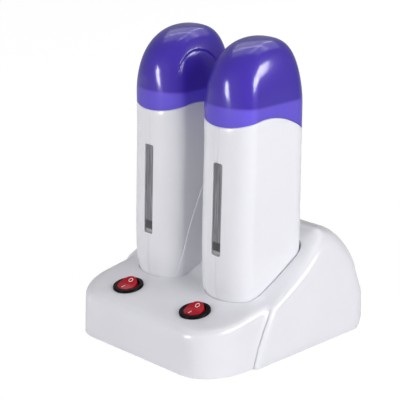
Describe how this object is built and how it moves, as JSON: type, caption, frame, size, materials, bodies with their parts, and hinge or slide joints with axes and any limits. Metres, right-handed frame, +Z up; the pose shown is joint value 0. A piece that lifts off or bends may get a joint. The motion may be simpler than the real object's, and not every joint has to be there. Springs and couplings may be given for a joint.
{
  "type": "roll on wax heater",
  "caption": "Double roll-on wax heater: two pod-shaped hand heaters with view windows and lift-off domed caps standing in a mains base with rocker switches.",
  "frame": {"origin": "middle of the whole object's box, on the surface that its feet stand on", "axes": "+Z up, +Y towards the back, +X to the right seen from the front"},
  "size_m": [0.16, 0.167, 0.2268],
  "materials": {
    "white_shell": "gloss",
    "plate": "matte",
    "feet": "matte",
    "steel": "satin",
    "inlet": "matte",
    "contact": "satin",
    "live": "satin",
    "neutral": "satin",
    "switched": "satin",
    "lead": "satin",
    "block": "matte",
    "bezel": "gloss",
    "rocker": "gloss",
    "plunger": "satin",
    "lens": "gloss",
    "chamber": "satin",
    "collar": "satin",
    "ceramic": "matte",
    "spring_steel": "satin",
    "thermostat": "satin",
    "fuse": "matte",
    "cap": "gloss"
  },
  "bodies": {
    "station": {"base_shell": "white_shell", "base_plate": "plate", "base_feet": "feet", "base_screws": "steel", "mains_inlet": "inlet", "inlet_pins": "steel", "lead_live": "live", "lead_neutral": "neutral", "lead_switched": "switched", "cradle_screws": "steel", "left_cradle_block": "block", "left_cradle_pins": "contact", "left_switch_housing": "bezel", "left_switch_terminals": "contact", "right_cradle_block": "block", "right_cradle_pins": "contact", "right_switch_housing": "bezel", "right_switch_terminals": "contact"},
    "left_rocker": {"left_switch_rocker": "rocker", "left_switch_plunger": "plunger"},
    "left_lever": {"left_switch_lever": "contact"},
    "left_heater": {"left_outer_shell": "white_shell", "left_grip_shell": "white_shell", "left_window_lens": "lens", "left_wax_chamber": "chamber", "left_collar": "collar", "left_heating_plate": "ceramic", "left_plate_clamp": "spring_steel", "left_thermostat": "thermostat", "left_thermal_fuse": "fuse", "left_contact_block": "block", "left_contact_sockets": "contact", "left_leads": "lead", "left_shell_screws": "steel", "left_cartridge_spring": "spring_steel"},
    "left_cap": {"left_cap": "cap"},
    "right_rocker": {"right_switch_rocker": "rocker", "right_switch_plunger": "plunger"},
    "right_lever": {"right_switch_lever": "contact"},
    "right_heater": {"right_outer_shell": "white_shell", "right_grip_shell": "white_shell", "right_window_lens": "lens", "right_wax_chamber": "chamber", "right_collar": "collar", "right_heating_plate": "ceramic", "right_plate_clamp": "spring_steel", "right_thermostat": "thermostat", "right_thermal_fuse": "fuse", "right_contact_block": "block", "right_contact_sockets": "contact", "right_leads": "lead", "right_shell_screws": "steel", "right_cartridge_spring": "spring_steel"},
    "right_cap": {"right_cap": "cap"}
  },
  "joints": [
    {"name": "left_rocker_tilt", "type": "hinge", "parent": "station", "child": "left_rocker", "pos_m": [-0.0354, -0.05744, 0.03771], "axis": [-1, 0, 0], "range_deg": [0, 24]},
    {"name": "left_lever_tilt", "type": "hinge", "parent": "station", "child": "left_lever", "pos_m": [-0.0354, -0.05561, 0.02656], "axis": [1, 0, 0], "range_deg": [0, 16]},
    {"name": "left_heater_lift", "type": "slide", "parent": "station", "child": "left_heater", "axis": [0, 0, 1], "range_m": [0, 0.06]},
    {"name": "left_cap_lift", "type": "slide", "parent": "left_heater", "child": "left_cap", "axis": [0, 0, 1], "range_m": [0, 0.06]},
    {"name": "right_rocker_tilt", "type": "hinge", "parent": "station", "child": "right_rocker", "pos_m": [0.0354, -0.05744, 0.03771], "axis": [-1, 0, 0], "range_deg": [0, 24]},
    {"name": "right_lever_tilt", "type": "hinge", "parent": "station", "child": "right_lever", "pos_m": [0.0354, -0.05561, 0.02656], "axis": [1, 0, 0], "range_deg": [0, 16]},
    {"name": "right_heater_lift", "type": "slide", "parent": "station", "child": "right_heater", "axis": [0, 0, 1], "range_m": [0, 0.06]},
    {"name": "right_cap_lift", "type": "slide", "parent": "right_heater", "child": "right_cap", "axis": [0, 0, 1], "range_m": [0, 0.06]}
  ],
  "couplings": [
    {"joint": "left_lever_tilt", "follows": "left_rocker_tilt", "ratio": 0.6667},
    {"joint": "right_lever_tilt", "follows": "right_rocker_tilt", "ratio": 0.6667}
  ]
}
